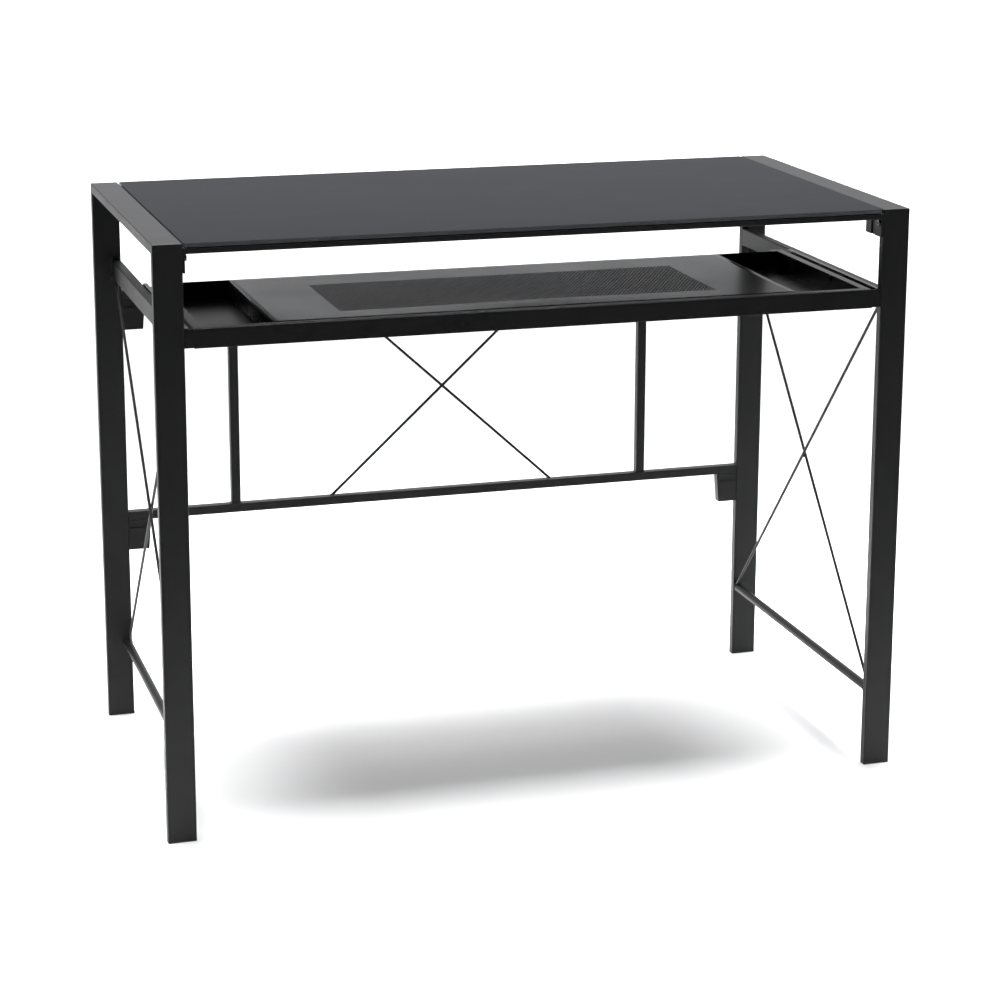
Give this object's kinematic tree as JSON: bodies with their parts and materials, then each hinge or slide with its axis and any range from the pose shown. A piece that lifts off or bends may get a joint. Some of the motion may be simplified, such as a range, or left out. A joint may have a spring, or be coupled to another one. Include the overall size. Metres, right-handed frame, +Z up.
{
  "type": "computer desk with keyboard tray",
  "caption": "Computer desk: glass top on flat-tube side frames, cross-braced open back, and a steel keyboard tray with a perforated panel that pulls out on ball slides.",
  "frame": {"origin": "on the floor under the middle of the desk", "axes": "+Z up, +X to the right along the width as the sitter sees it, -Y towards the sitter (the tray opens along -Y)"},
  "size_m": [1, 0.5, 0.772],
  "materials": {
    "frame_black": "satin black powder coat with a fine texture",
    "tray_black": "satin black powder coat on sheet steel",
    "satin_graphite": "dark graphite semi-gloss coat",
    "glass": "opaque dark grey glass, fine satin top, polished edge",
    "black_steel": "glossy black-plated steel",
    "zinc_steel": "bright zinc-plated steel",
    "rubber": "matt black moulded rubber"
  },
  "bodies": {
    "frame": {"leg_front_left": "frame_black", "leg_front_right": "frame_black", "leg_back_left": "frame_black", "leg_back_right": "frame_black", "foot_plugs": "rubber", "top_beam_left": "frame_black", "top_beam_right": "frame_black", "front_top_rail": "frame_black", "rear_top_rail": "frame_black", "corner_bracket_front_left": "frame_black", "corner_bracket_front_right": "frame_black", "corner_bracket_back_left": "frame_black", "corner_bracket_back_right": "frame_black", "glass_ledge_left": "frame_black", "glass_ledge_right": "frame_black", "glass_pads": "rubber", "glass_top": "glass", "tray_rail_left": "frame_black", "tray_rail_right": "frame_black", "low_rail_left": "frame_black", "low_rail_right": "frame_black", "side_rod_left_rising": "frame_black", "side_rod_left_falling": "frame_black", "side_rod_right_rising": "frame_black", "side_rod_right_falling": "frame_black", "back_rail_upper": "frame_black", "back_rail_lower": "frame_black", "back_upright_left": "frame_black", "back_upright_right": "frame_black", "back_rod_rising": "frame_black", "back_rod_falling": "frame_black", "gusset_upper_left": "frame_black", "gusset_upper_right": "frame_black", "gusset_lower_left": "frame_black", "gusset_lower_right": "frame_black", "frame_bolts": "black_steel", "tray_rail_screws": "black_steel", "slide_channel_left": "black_steel", "slide_channel_right": "black_steel", "slide_bumpers": "rubber"},
    "tray": {"tray_front": "tray_black", "tray_rear": "tray_black", "tray_side_left": "tray_black", "tray_side_right": "tray_black", "tray_floor": "tray_black", "keyboard_platform": "satin_graphite", "perforated_panel": "satin_graphite", "slide_runner_left": "black_steel", "slide_runner_right": "black_steel", "tray_screws": "black_steel", "slide_flanges": "tray_black"},
    "left_ball_cage": {"ball_cage_left": "zinc_steel", "slide_balls_left": "zinc_steel"},
    "right_ball_cage": {"ball_cage_right": "zinc_steel", "slide_balls_right": "zinc_steel"}
  },
  "joints": [
    {"name": "tray_slide", "type": "slide", "parent": "frame", "child": "tray", "axis": [0, -1, 0], "range_m": [0, 0.22]},
    {"name": "left_cage_slide", "type": "slide", "parent": "frame", "child": "left_ball_cage", "axis": [0, -1, 0], "range_m": [0, 0.11]},
    {"name": "right_cage_slide", "type": "slide", "parent": "frame", "child": "right_ball_cage", "axis": [0, -1, 0], "range_m": [0, 0.11]}
  ],
  "couplings": [
    {"joint": "left_cage_slide", "follows": "tray_slide", "ratio": 0.5},
    {"joint": "right_cage_slide", "follows": "tray_slide", "ratio": 0.5}
  ]
}
